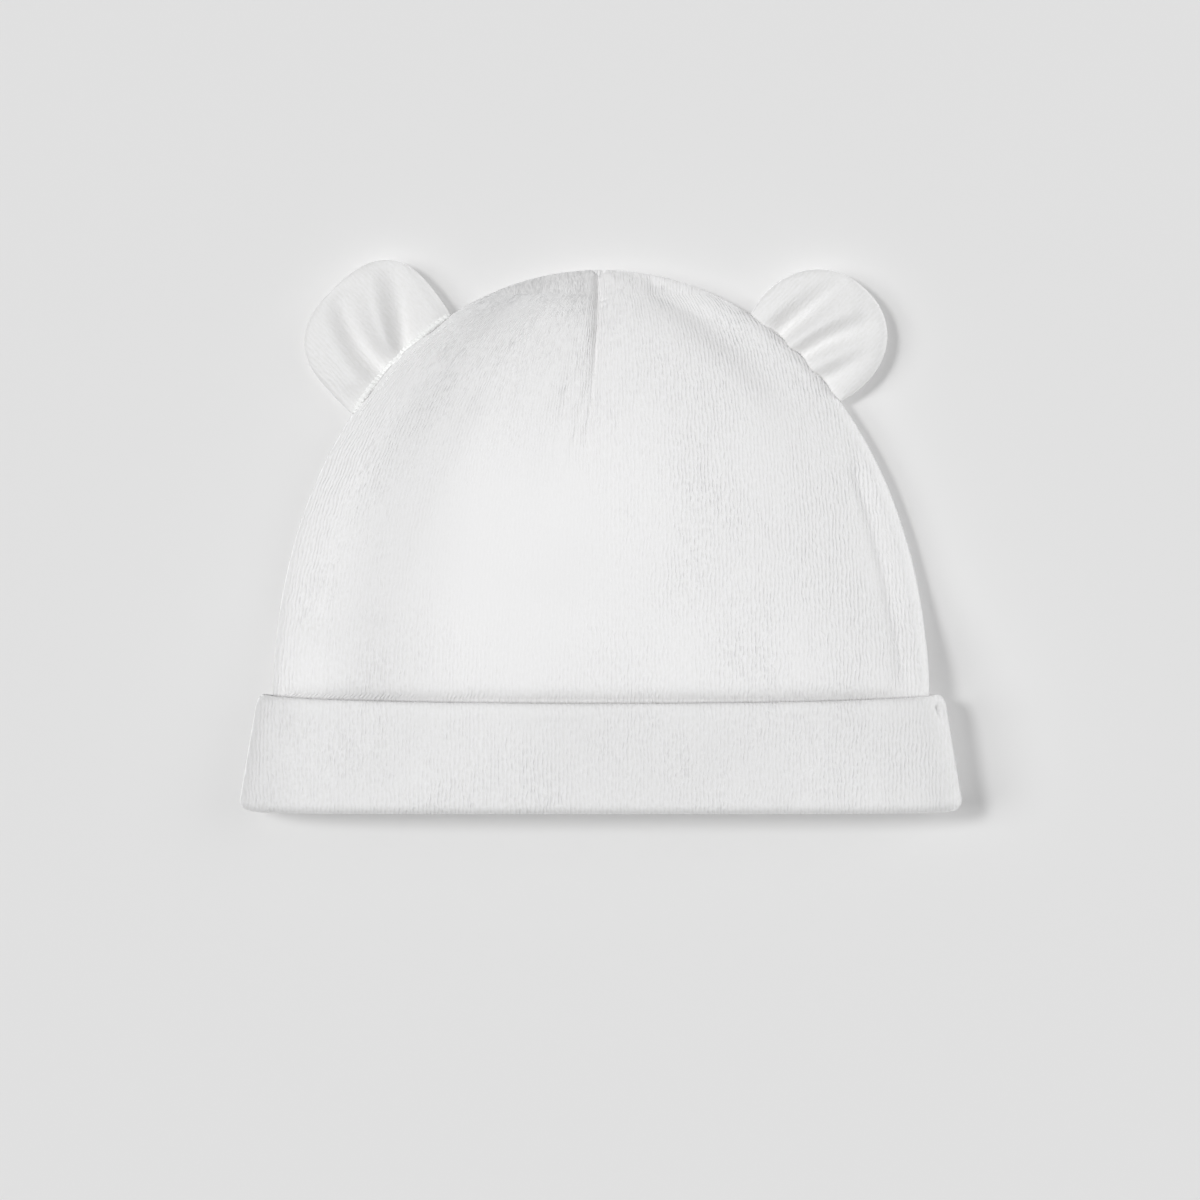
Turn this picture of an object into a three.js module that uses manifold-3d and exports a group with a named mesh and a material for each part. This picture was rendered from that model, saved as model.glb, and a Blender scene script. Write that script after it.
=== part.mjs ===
// A newborn's velour hat with round ears, lying flat on its back, in millimetres.
// +X runs across the hat, +Y from the mouth to the top of the crown, and +Z up from the surface it lies on.
// The head's hollow is one surface. The crown and the cuff are layers offset outwards from it.

import * as THREE from 'three';
import Module from 'manifold-3d';

// Outline, as the hat lies flat
const CROWN_WIDTH = 168;
const CROWN_RISE = 109.4;
const CROWN_ROUNDNESS = 2.04;
const CUFF_WIDTH = 185;
const CUFF_HEIGHT = 28.4;
const CUFF_END_RISE = 1.2;

// Layers of cloth
const VELOUR = 1.5;
const CUFF_WALL = 3.6;
const CLEARANCE = 0.3;
const CUFF_ROLL = 2.6;
const CUFF_TOP_FOLD = 3.5;

// Thickness of the lying hat
const MOUTH_OPENING = 13;
const CROWN_DEPTH = 23;
const RIM_RISE = 4;
const PUFF_REACH = 75;
const FLOOR_EASE = 22;
const BAND_ROUNDNESS = 4;
const BAND_FADE = 40;
const SECTION_ROUNDNESS = 2.2;
const SECTION_FULLNESS = 0.7;
const TOP_ROUNDNESS = 2.6;
const TOP_FULLNESS = 0.6;
const BACK_FLATNESS = 1.5;
const RIM_FADE = 16;

// Ears
const EAR_WIDTH = 37.4;
const EAR_HEIGHT = 25.6;
const EAR_THICKNESS = 8;
const EAR_UNDERSIDE = 1.5;
const EAR_SEAT_DEPTH = 1.2;
const EAR_ROUNDNESS = 2.4;
const PINCH = 0.62;

// Fineness of the faceted surfaces
const FRONT_COLUMNS = 44;
const BACK_COLUMNS = 24;
const COLUMN_EASE = 0.88;
const BAND_ROWS = 4;
const CROWN_ROWS = 17;
const FOLD_STEPS = 5;
const EAR_TOP_COLUMNS = 22;
const EAR_BACK_COLUMNS = 10;
const EAR_NECK_ROWS = 6;
const EAR_TIP_ROWS = 8;

// A table of named columns, each row becoming one object
function table(columns, ...rows) {
  return rows.map((row) => Object.fromEntries(columns.map((column, index) => [column, row[index]])));
}

// Folds of the crown's front, each along a start, a middle and an end point: across in shares of its half
// width, along in shares of its rise above the cuff, widths in shares of the half width, and depths in shares
// of its thickness, negative for a valley
const FOLD_COLUMNS = ['x0', 'y0', 'x1', 'y1', 'x2', 'y2', 'width0', 'width2', 'depth0', 'depth2'];
const CROWN_FOLDS = table(
  ['name', ...FOLD_COLUMNS],
  ['centre dart', 0.006, 0.985, -0.014, 0.79, -0.055, 0.58, 0.05, 0.038, -0.096, -0.022],
  ['second crease', -0.094, 0.718, -0.148, 0.6, -0.173, 0.461, 0.04, 0.045, -0.035, -0.017],
  ['left valley', -0.308, 0.917, -0.598, 0.578, -0.812, 0.191, 0.095, 0.083, -0.087, -0.039],
  ['left ridge', -0.521, 0.776, -0.826, 0.39, -0.964, 0.132, 0.06, 0.048, 0.043, 0.035],
  ['right valley', 0.211, 0.952, 0.515, 0.765, 0.69, 0.616, 0.077, 0.077, -0.07, -0.022],
  ['right edge valley', 0.775, 0.554, 0.881, 0.296, 0.95, 0.05, 0.038, 0.06, -0.039, -0.065],
  ['right hem valley', 0.7, 0.42, 0.81, 0.25, 0.833, 0.06, 0.107, 0.107, -0.01, -0.039],
);

// Where each ear sits: seat in shares of the crown's rise, turn in degrees from the crown's outline,
// width and height in shares of the ear sizes, and the rest in shares of the ear's own half width or height
const EARS = table(
  ['name', 'side', 'seat', 'turn', 'width', 'height', 'base', 'shoulder', 'roundness', 'lean'],
  ['ear_left', -1, 0.79, 2.1, 1, 1, 0.965, 0.37, 1.08, 0.075],
  ['ear_right', 1, 0.803, 1.2, 0.925, 0.973, 0.93, 0.28, 0.9, 0.058],
);

// Tucks of the ears, in the same columns: across in shares of the half width, along in shares of the height,
// widths in shares of the half width, and depths in shares of the thickness, negative for a valley
const EAR_TUCKS = table(
  ['ear', ...FOLD_COLUMNS],
  ['ear_left', -0.21, -0.02, -0.24, 0.4, -0.06, 0.86, 0.12, 0.1, -0.26, -0.05],
  ['ear_left', 0.04, 0.1, 0.2, 0.46, 0.42, 0.76, 0.13, 0.15, 0.15, 0.08],
  ['ear_left', 0.3, -0.02, 0.5, 0.26, 0.74, 0.52, 0.15, 0.12, -0.24, -0.06],
  ['ear_left', -0.64, 0.2, -0.56, 0.5, -0.43, 0.86, 0.18, 0.16, 0.1, 0.04],
  ['ear_left', -0.85, 0, -0.86, 0.1, -0.88, 0.22, 0.12, 0.1, -0.18, -0.04],
  ['ear_left', 0.79, 0.11, 0.8, 0.4, 0.83, 0.78, 0.12, 0.1, 0.06, 0.03],
  ['ear_right', -0.43, -0.02, -0.4, 0.4, -0.335, 0.84, 0.15, 0.12, -0.26, -0.05],
  ['ear_right', -0.15, 0.08, -0.04, 0.4, 0.1, 0.7, 0.14, 0.16, 0.14, 0.06],
  ['ear_right', 0.06, -0.02, 0.2, 0.25, 0.48, 0.64, 0.13, 0.12, -0.2, -0.05],
  ['ear_right', 0.52, -0.02, 0.6, 0.15, 0.66, 0.4, 0.12, 0.1, -0.2, -0.04],
  ['ear_right', -0.73, 0.15, -0.74, 0.33, -0.73, 0.5, 0.17, 0.15, 0.1, 0.04],
);

// Sizes that follow from the ones above
const LAYERS = VELOUR + CLEARANCE + CUFF_WALL;
const CROWN_START = CUFF_HEIGHT + CUFF_END_RISE;
const HOLLOW_RISE = CROWN_RISE - VELOUR;
const MOUTH_EDGE = CUFF_ROLL + CLEARANCE;

function mix(from, to, share) {
  return from + (to - from) * share;
}

function smooth(share) {
  const held = Math.min(1, Math.max(0, share));
  return held * held * (3 - 2 * held);
}

// A quarter of a superellipse: 1 where share is 0, and 0 where share is 1
function rounded(share, roundness) {
  return (1 - Math.min(1, Math.abs(share)) ** roundness) ** (1 / roundness);
}

// A softly pointed lens: 1 where share is 0, and 0 where share is 1
function lens(share, roundness, fullness) {
  return (1 - Math.min(1, Math.abs(share)) ** roundness) ** fullness;
}

// A fold's row in millimetres
function foldInMillimetres(row, acrossUnit, alongUnit, depthUnit) {
  return {
    points: [[row.x0, row.y0], [row.x1, row.y1], [row.x2, row.y2]].map(([across, along]) =>
      new THREE.Vector2(across * acrossUnit, along * alongUnit)),
    widths: [row.width0 * acrossUnit, row.width2 * acrossUnit],
    depths: [row.depth0 * depthUnit, row.depth2 * depthUnit],
  };
}

// Distance from a place to the line through a fold's points, and the share of the line where it is nearest
function nearestOnFold(points, place) {
  const legs = points.slice(1).map((end, index) => {
    const start = points[index];
    const run = end.clone().sub(start);
    const share = THREE.MathUtils.clamp(place.clone().sub(start).dot(run) / run.lengthSq(), 0, 1);
    const distance = place.distanceTo(start.clone().addScaledVector(run, share));
    return { distance, share: (index + share) / (points.length - 1) };
  });
  return legs.reduce((nearest, leg) => (leg.distance < nearest.distance ? leg : nearest));
}

// Height that the folds add at a place: each is a soft groove or ridge round its line
function foldHeight(folds, place) {
  let height = 0;
  for (const { points, widths, depths } of folds) {
    const { distance, share } = nearestOnFold(points, place);
    height += mix(...depths, share) * Math.exp(-((distance / mix(...widths, share)) ** 2));
  }
  return height;
}

const crownFolds = CROWN_FOLDS.map((row) =>
  foldInMillimetres(row, CROWN_WIDTH / 2, CROWN_RISE, CROWN_DEPTH));

// Half the hollow's width at a distance y from the mouth's edge
function hollowHalfWidth(y) {
  const crownHalf = CROWN_WIDTH / 2 - VELOUR;
  if (y < CROWN_START) {
    return mix(CUFF_WIDTH / 2 - LAYERS, crownHalf, (y - CUFF_ROLL) / (CROWN_START - CUFF_ROLL));
  }
  return crownHalf * rounded((y - CROWN_START) / HOLLOW_RISE, CROWN_ROUNDNESS);
}

// Heights of the hollow at y: its floor, its rim at the sides and its top
function hollowHeights(y) {
  const aboveCuff = Math.max(0, y - CROWN_START);
  const floor = mix(LAYERS, VELOUR, smooth(aboveCuff / FLOOR_EASE));
  const rim = floor + RIM_RISE;
  const top = mix(LAYERS + MOUTH_OPENING, VELOUR + CROWN_DEPTH, smooth(y / PUFF_REACH));
  const taper = lens(aboveCuff / HOLLOW_RISE, TOP_ROUNDNESS, TOP_FULLNESS);
  return { floor, rim, rise: (top - rim) * taper, drop: RIM_RISE * BACK_FLATNESS * taper };
}

// Share of the half width at a turn round the section: 0 to 1 crosses the front, 1 to 2 comes back below
function shareAcross(turn) {
  const even = turn <= 1 ? 1 - 2 * turn : 2 * turn - 3;
  return mix(even, Math.sin(even * Math.PI / 2), COLUMN_EASE);
}

// Share of the front's rise across the section: a flat band with round ends at the mouth, a lens higher up
function frontBulge(across, y) {
  const band = rounded(across, BAND_ROUNDNESS);
  const dome = lens(across, SECTION_ROUNDNESS, SECTION_FULLNESS);
  return mix(band, dome, smooth((y - CUFF_HEIGHT) / BAND_FADE));
}

// A point of the hollow, before any fold
function hollowPoint(turn, y) {
  const across = shareAcross(turn);
  const { floor, rim, rise, drop } = hollowHeights(y);
  const z = turn <= 1
    ? rim + rise * frontBulge(across, y)
    : Math.max(floor, rim - drop * rounded(across, SECTION_ROUNDNESS));
  return new THREE.Vector3(across * hollowHalfWidth(y), y, z);
}

// The hollow's direction outwards, from its slopes along and round it
function hollowNormal(turn, y) {
  const STEP = 1e-4;
  const along = hollowPoint(turn, y + STEP).sub(hollowPoint(turn, y - STEP));
  const round = hollowPoint((turn + STEP) % 2, y).sub(hollowPoint((turn + 2 - STEP) % 2, y));
  return along.cross(round).normalize();
}

// A point of a layer that lies the given distance outside the hollow and takes its folds
function layerPoint(turn, y, distance) {
  const point = hollowPoint(turn, y);
  const fading = 1 - shareAcross(turn) ** RIM_FADE;
  const place = new THREE.Vector2(point.x, y - CROWN_START);
  const relief = turn < 1 ? foldHeight(crownFolds, place) * fading : 0;
  return point.addScaledVector(hollowNormal(turn, y), distance + relief);
}

// Turns of the columns round a section
function columnTurns(frontColumns, backColumns) {
  const front = Array.from({ length: frontColumns }, (_, column) => column / frontColumns);
  const back = Array.from({ length: backColumns }, (_, column) => 1 + column / backColumns);
  return [...front, ...back];
}

// A closed surface through rings of points, with a pole at each end or, without poles, closed on itself
function surfaceThroughRings(rings, startPole, endPole) {
  const columns = rings[0].length;
  const points = rings.flat();
  const triangles = [];
  const links = startPole ? rings.length - 1 : rings.length;
  for (let row = 0; row < links; row += 1) {
    for (let column = 0; column < columns; column += 1) {
      const next = (column + 1) % columns;
      const above = ((row + 1) % rings.length) * columns;
      const [a, b, c, d] = [row * columns + column, row * columns + next, above + next, above + column];
      triangles.push(a, c, b, a, d, c);
    }
  }
  if (startPole) {
    const lastRing = (rings.length - 1) * columns;
    points.push(startPole, endPole);
    for (let column = 0; column < columns; column += 1) {
      const next = (column + 1) % columns;
      triangles.push(points.length - 2, column, next);
      triangles.push(points.length - 1, lastRing + next, lastRing + column);
    }
  }
  const geometry = new THREE.BufferGeometry().setFromPoints(points);
  geometry.setIndex(triangles);
  return geometry;
}

const hatTurns = columnTurns(FRONT_COLUMNS, BACK_COLUMNS);

// Distances y of the rows that the crown and the cuff share under the cuff, and of all the crown's rows
const bandRows = Array.from({ length: BAND_ROWS + 1 }, (_, row) =>
  mix(MOUTH_EDGE, CROWN_START, row / BAND_ROWS));
const domeRows = Array.from({ length: CROWN_ROWS }, (_, row) =>
  CROWN_START + HOLLOW_RISE * Math.sin((row + 1) / (CROWN_ROWS + 1) * Math.PI / 2));
const crownRows = [...bandRows, ...domeRows];

// One ring of the layer at a distance from the hollow
function layerRing(y, distance) {
  return hatTurns.map((turn) => layerPoint(turn, y, distance));
}

// The top of the layer at a distance from the hollow
function layerPole(distance) {
  const y = CROWN_START + HOLLOW_RISE;
  return new THREE.Vector3(0, y + distance, hollowHeights(y).rim);
}

// The crown: one wall of velour round the hollow, open at the mouth
function crownGeometry() {
  const inside = crownRows.map((y) => layerRing(y, 0)).reverse();
  const outside = crownRows.map((y) => layerRing(y, VELOUR));
  return surfaceThroughRings([...inside, ...outside], layerPole(0), layerPole(VELOUR));
}

// The room that the crown and its clearance take up, filled, for seating the ears
function crownRoomGeometry() {
  const distance = VELOUR + CLEARANCE;
  const rings = crownRows.map((y) => layerRing(y, distance));
  const mouthCentre = new THREE.Vector3(0, MOUTH_EDGE, hollowHeights(MOUTH_EDGE).rim);
  return surfaceThroughRings(rings, mouthCentre, layerPole(distance));
}

// Distance y of the cuff's top edge, which sags a little between the hat's sides
function cuffTop(turn) {
  return CUFF_HEIGHT + CUFF_END_RISE * shareAcross(turn) ** 2;
}

// The cuff's section as distances from the hollow and y: the rolled edge, the outer face up to the top fold,
// and the inner face back down to the shelf on which the crown's edge stands
function cuffSection(turn) {
  const inner = VELOUR + CLEARANCE;
  const foldStart = cuffTop(turn) - CUFF_TOP_FOLD;
  const between = bandRows.filter((y) => y > MOUTH_EDGE && y < CUFF_HEIGHT - CUFF_TOP_FOLD);
  const angles = Array.from({ length: FOLD_STEPS + 1 }, (_, step) => step / FOLD_STEPS * Math.PI);
  const roll = angles.map((angle) => ({
    distance: LAYERS * (1 - Math.cos(angle)) / 2,
    y: CUFF_ROLL * (1 - Math.sin(angle)),
  }));
  const fold = angles.map((angle) => ({
    distance: inner + CUFF_WALL * (1 + Math.cos(angle)) / 2,
    y: foldStart + CUFF_TOP_FOLD * Math.sin(angle),
  }));
  const outerFace = between.map((y) => ({ distance: LAYERS, y }));
  const innerFace = between.map((y) => ({ distance: inner, y })).reverse();
  return [...roll, ...outerFace, ...fold, ...innerFace, { distance: inner, y: CUFF_ROLL }];
}

// The cuff: the doubled band turned up round the crown
function cuffGeometry() {
  const sections = hatTurns.map(cuffSection);
  const rings = sections[0].map((_, index) =>
    hatTurns.map((turn, column) => {
      const { distance, y } = sections[column][index];
      return layerPoint(turn, y, distance);
    }));
  return surfaceThroughRings(rings);
}

// The place and directions of an ear: its middle at the seam, along the seam and outwards
function earFrame(ear) {
  const share = rounded(ear.seat, CROWN_ROUNDNESS);
  const seam = new THREE.Vector3(ear.side * share * CROWN_WIDTH / 2, CROWN_START + ear.seat * CROWN_RISE, 0);
  const slopeX = share ** (CROWN_ROUNDNESS - 1) / (CROWN_WIDTH / 2);
  const slopeY = ear.seat ** (CROWN_ROUNDNESS - 1) / CROWN_RISE;
  const turned = Math.atan2(slopeY, slopeX) + THREE.MathUtils.degToRad(ear.turn);
  const outward = new THREE.Vector3(ear.side * Math.cos(turned), Math.sin(turned), 0);
  const middle = seam.addScaledVector(outward, -EAR_SEAT_DEPTH);
  middle.z = EAR_UNDERSIDE + EAR_THICKNESS / 2;
  return { middle, along: new THREE.Vector3(outward.y, -outward.x, 0), outward };
}

// Half width, thickness and lean of an ear at a height above the seam
function earSection(ear, height) {
  const halfWidth = EAR_WIDTH * ear.width / 2;
  const fullHeight = EAR_HEIGHT * ear.height;
  const shoulder = ear.shoulder * fullHeight;
  const risen = Math.sin(Math.min(1, Math.max(0, height / shoulder)) * Math.PI / 2);
  const tip = Math.max(0, (height - shoulder) / (fullHeight - shoulder));
  return {
    half: halfWidth * mix(ear.base, 1, risen) * rounded(tip, EAR_ROUNDNESS * ear.roundness),
    thickness: EAR_THICKNESS * mix(PINCH, 1, risen) * rounded(tip, EAR_ROUNDNESS),
    lean: halfWidth * ear.lean * Math.max(0, height) / fullHeight,
  };
}

// One ring of an ear at a height above the seam
function earRing(ear, frame, tucks, height) {
  const { half, thickness, lean } = earSection(ear, height);
  return columnTurns(EAR_TOP_COLUMNS, EAR_BACK_COLUMNS).map((turn) => {
    const across = shareAcross(turn);
    const bulge = rounded(across, EAR_ROUNDNESS);
    const place = new THREE.Vector2(across * half, height);
    const tuck = turn < 1 ? foldHeight(tucks, place) * bulge * thickness / EAR_THICKNESS : 0;
    const z = (turn < 1 ? 1 : -1) * thickness / 2 * bulge + tuck;
    return frame.middle.clone()
      .addScaledVector(frame.along, across * half + lean)
      .addScaledVector(frame.outward, height)
      .add(new THREE.Vector3(0, 0, z));
  });
}

// An ear before it is seated: its root reaches into the crown's room
function earGeometry(ear) {
  const frame = earFrame(ear);
  const fullHeight = EAR_HEIGHT * ear.height;
  const shoulder = ear.shoulder * fullHeight;
  const root = -EAR_THICKNESS;
  const tucks = EAR_TUCKS.filter((row) => row.ear === ear.name).map((row) =>
    foldInMillimetres(row, EAR_WIDTH * ear.width / 2, fullHeight, EAR_THICKNESS));
  const neck = Array.from({ length: EAR_NECK_ROWS + 1 }, (_, row) =>
    mix(root, shoulder, row / EAR_NECK_ROWS));
  const tip = Array.from({ length: EAR_TIP_ROWS }, (_, row) =>
    mix(shoulder, fullHeight, Math.sin((row + 1) / (EAR_TIP_ROWS + 1) * Math.PI / 2)));
  const rings = [...neck, ...tip].map((height) => earRing(ear, frame, tucks, height));
  const rootPole = frame.middle.clone().addScaledVector(frame.outward, root);
  const tipPole = frame.middle.clone()
    .addScaledVector(frame.outward, fullHeight)
    .addScaledVector(frame.along, earSection(ear, fullHeight).lean);
  return surfaceThroughRings(rings, rootPole, tipPole);
}

const wasm = await Module();
wasm.setup();

// Solid of a closed surface, and the surface of a solid
function solidOf(geometry) {
  const vertProperties = new Float32Array(geometry.getAttribute('position').array);
  const triVerts = new Uint32Array(geometry.getIndex().array);
  return new wasm.Manifold(new wasm.Mesh({ numProp: 3, vertProperties, triVerts }));
}

function geometryOf(solid) {
  const { vertProperties, triVerts } = solid.getMesh();
  const geometry = new THREE.BufferGeometry();
  geometry.setAttribute('position', new THREE.BufferAttribute(vertProperties, 3));
  geometry.setIndex(new THREE.BufferAttribute(triVerts, 1));
  return geometry;
}

// Each ear is cut back to the crown's room, so that it sits on the side seam
function seatedEarGeometry(ear) {
  return geometryOf(solidOf(earGeometry(ear)).subtract(solidOf(crownRoomGeometry())));
}

// A named piece of white velour
function velourPiece(name, geometry, color) {
  geometry.computeVertexNormals();
  const material = new THREE.MeshStandardMaterial({ color, roughness: 0.95, metalness: 0 });
  const piece = new THREE.Mesh(geometry, material);
  piece.name = name;
  return piece;
}

const hat = new THREE.Group();
hat.add(velourPiece('crown', crownGeometry(), 0xf1f1ee));
hat.add(velourPiece('cuff', cuffGeometry(), 0xeeeeeb));
EARS.forEach((ear) => hat.add(velourPiece(ear.name, seatedEarGeometry(ear), 0xf2f2ef)));

// The origin is under the middle of the lying hat
const extent = new THREE.Box3().setFromObject(hat, true);
const centre = extent.getCenter(new THREE.Vector3());
hat.position.set(-centre.x, -centre.y, -extent.min.z);

export default hat;
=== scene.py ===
"""A newborn's white velour hat with round ears, lying flat on its back and seen from straight above.

The head's hollow is one surface. The crown and the cuff are layers offset outwards from it, and both take its
folds. Shapes are worked out in millimetres and stored in metres: x from the hat's middle, y from the mouth's
edge and z from the surface that it lies on.
"""
import math
from collections import namedtuple

import bpy
import numpy as np
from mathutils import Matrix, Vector
from mathutils.bvhtree import BVHTree


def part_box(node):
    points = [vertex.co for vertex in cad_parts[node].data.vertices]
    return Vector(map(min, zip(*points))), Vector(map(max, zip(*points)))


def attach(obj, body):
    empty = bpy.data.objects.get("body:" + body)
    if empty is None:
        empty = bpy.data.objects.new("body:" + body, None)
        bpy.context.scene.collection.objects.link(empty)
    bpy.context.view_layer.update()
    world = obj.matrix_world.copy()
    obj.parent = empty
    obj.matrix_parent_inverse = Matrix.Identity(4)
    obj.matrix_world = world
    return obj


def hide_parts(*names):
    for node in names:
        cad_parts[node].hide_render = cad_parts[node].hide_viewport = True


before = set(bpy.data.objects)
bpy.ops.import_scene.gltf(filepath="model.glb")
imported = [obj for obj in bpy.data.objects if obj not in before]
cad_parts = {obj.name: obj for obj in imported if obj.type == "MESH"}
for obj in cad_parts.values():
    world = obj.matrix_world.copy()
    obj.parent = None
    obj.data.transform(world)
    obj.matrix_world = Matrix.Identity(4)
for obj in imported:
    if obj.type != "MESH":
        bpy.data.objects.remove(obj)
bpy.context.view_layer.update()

MM = 0.001

# Outline of the lying hat, in millimetres
CROWN_WIDTH = 168
CROWN_RISE = 109.4
CROWN_ROUNDNESS = 2.04
CUFF_WIDTH = 185
CUFF_HEIGHT = 28.4
CUFF_END_RISE = 1.2

# Layers of cloth
VELOUR = 1.5
CUFF_WALL = 3.6
CLEARANCE = 0.3
CUFF_ROLL = 2.6
CUFF_TOP_FOLD = 3.5

# Thickness of the lying hat
MOUTH_OPENING = 13
CROWN_DEPTH = 23
RIM_RISE = 4
PUFF_REACH = 75
FLOOR_EASE = 22
BAND_ROUNDNESS = 4
BAND_FADE = 40
SECTION_ROUNDNESS = 2.2
SECTION_FULLNESS = 0.7
TOP_ROUNDNESS = 2.6
TOP_FULLNESS = 0.6
BACK_FLATNESS = 1.5
RIM_FADE = 16

# Ears
EAR_WIDTH = 37.4
EAR_HEIGHT = 25.6
EAR_THICKNESS = 8
EAR_UNDERSIDE = 1.5
EAR_SEAT_DEPTH = 1.2
EAR_ROUNDNESS = 2.4
PINCH = 0.62
EAR_CLEARANCE = 0.08

LAYERS = VELOUR + CLEARANCE + CUFF_WALL
CROWN_START = CUFF_HEIGHT + CUFF_END_RISE
HOLLOW_RISE = CROWN_RISE - VELOUR
MOUTH_EDGE = CUFF_ROLL + CLEARANCE

# Where the cuff's top edge holds the crown down, and the crown swells above it
GROOVE_DEPTH = 1.3
GROOVE_WIDTH = 2.1
GROOVE_START = -0.5
SWELL_HEIGHT = 2.2
SWELL_START = 5.5
SWELL_END = 28

# The side seam's welt inside the outline, higher on the right than on the left
WELT_HEIGHT = 1
WELT_LEFT_SHARE = 0.3
WELT_PLACE = 2.2
WELT_WIDTH = 1.7

# Broad unevenness of the cloth
RIPPLE_HEIGHT = 0.11
RIPPLE_WAVES = 14
RIPPLE_LENGTHS = (13, 34)

# Where the mouth's edge lies in the frame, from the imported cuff
MOUTH_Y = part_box("cuff")[0].y / MM

# Fineness of the meshes
FRONT_COLUMNS = 340
BACK_COLUMNS = 60
COLUMN_EASE = 0.5
CROWN_ROWS = 180
BAND_ROWS = 16
INNER_STEP = 4
CURVE_STEPS = 10
EAR_TOP_COLUMNS = 120
EAR_BACK_COLUMNS = 50
EAR_ROWS = 90
EAR_ROOT_ROWS = 6

Fold = namedtuple("Fold", "x0 y0 x1 y1 x2 y2 width0 width2 depth0 depth2")

# Folds of the crown's front, each along a start, a middle and an end point: across in shares of its half
# width, along in shares of its rise above the cuff, widths in shares of the half width, and depths in shares
# of its thickness, negative for a valley
CROWN_FOLDS = [
    Fold(0.006, 0.985, -0.014, 0.79, -0.055, 0.58, 0.05, 0.038, -0.096, -0.022),
    Fold(-0.094, 0.718, -0.148, 0.6, -0.173, 0.461, 0.04, 0.045, -0.035, -0.017),
    Fold(-0.308, 0.917, -0.598, 0.578, -0.812, 0.191, 0.095, 0.083, -0.087, -0.039),
    Fold(-0.521, 0.776, -0.826, 0.39, -0.964, 0.132, 0.06, 0.048, 0.043, 0.035),
    Fold(0.211, 0.952, 0.515, 0.765, 0.69, 0.616, 0.077, 0.077, -0.07, -0.022),
    Fold(0.775, 0.554, 0.881, 0.296, 0.95, 0.05, 0.038, 0.06, -0.039, -0.065),
    Fold(0.7, 0.42, 0.81, 0.25, 0.833, 0.06, 0.107, 0.107, -0.01, -0.039),
]

# Fine creases of the crown, in the same columns but in millimetres: the dart's sharp line and its lips, the
# pucker beside it, the pulled threads on its left, the stitched line under the left ear, the left side fold
# and the ridge outside it, the valley inside the right rim, and the hollow at the top right
CROWN_CREASES = [
    Fold(-0.5, 139, -1.3, 117, -3.9, 93, 1.1, 0.5, -1.9, -0.2),
    Fold(2.2, 138, 1.7, 122, -1, 106, 1.3, 0.8, 0.45, 0.15),
    Fold(-3.4, 137, -3.8, 122, -5.2, 106, 1.4, 1, 0.5, 0.2),
    Fold(0.5, 131.6, 1.4, 130.7, 0.6, 129.7, 0.5, 0.5, -0.5, -0.4),
    Fold(0.7, 130.7, 0.8, 130.7, 0.9, 130.7, 0.35, 0.35, 0.35, 0.35),
    Fold(2.4, 139, 2.8, 137.8, 3.6, 136.6, 0.6, 0.5, -0.4, -0.2),
    Fold(-4.4, 118.5, -6.6, 110, -9.1, 101, 0.5, 0.5, -0.34, -0.24),
    Fold(-2.9, 110.5, -5.2, 101.7, -7.4, 93.5, 0.5, 0.45, -0.34, -0.2),
    Fold(-5.9, 121, -8.4, 111, -10.4, 102, 0.6, 0.55, -0.28, -0.2),
    Fold(-8.3, 108, -9.6, 102, -13.2, 84, 0.8, 0.6, -0.6, -0.2),
    Fold(-6.9, 98, -9, 91, -11.2, 82, 0.5, 0.5, 0.3, 0.18),
    Fold(-10.6, 95, -11.8, 88, -12.6, 78, 0.45, 0.45, 0.24, 0.14),
    Fold(-40, 126.7, -53.3, 114.3, -64.4, 100.4, 0.55, 0.55, -0.4, -0.4),
    Fold(-34, 108, -46.5, 83, -56.5, 52, 6.5, 5, -2.6, -1.4),
    Fold(-50.5, 106, -62.5, 81.2, -71.5, 56, 4.4, 4, 1.5, 1),
    Fold(65.1, 86.9, 72.5, 59.7, 76.4, 34.8, 1.9, 2.2, -0.9, -1),
    Fold(15, 135, 29, 125, 46, 105, 5, 5, -2, -0.7),
]

# Creases of the cuff's outer face, in millimetres: soft wrinkles under its top edge, and the tack's dimple
CUFF_CREASES = [
    Fold(-4, 25.4, 8, 25.7, 22, 27, 0.8, 0.6, -0.22, -0.1),
    Fold(-14, 24, 2, 23.8, 16, 25, 0.9, 0.7, -0.14, -0.06),
    Fold(30, 26, 44, 24.9, 56, 25.4, 0.8, 0.7, -0.14, -0.1),
    Fold(86.2, 26.8, 86.5, 25, 86.9, 23.4, 0.8, 0.6, -1.6, -0.6),
    Fold(87.6, 26.4, 87.8, 25, 88, 23.4, 0.45, 0.4, 0.3, 0.1),
]

Ear = namedtuple("Ear", "name side seat turn width height base shoulder roundness lean")
EARS = [
    Ear("ear_left", -1, 0.79, 2.1, 1, 1, 0.965, 0.37, 1.08, 0.075),
    Ear("ear_right", 1, 0.803, 1.2, 0.925, 0.973, 0.93, 0.28, 0.9, 0.058),
]

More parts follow.
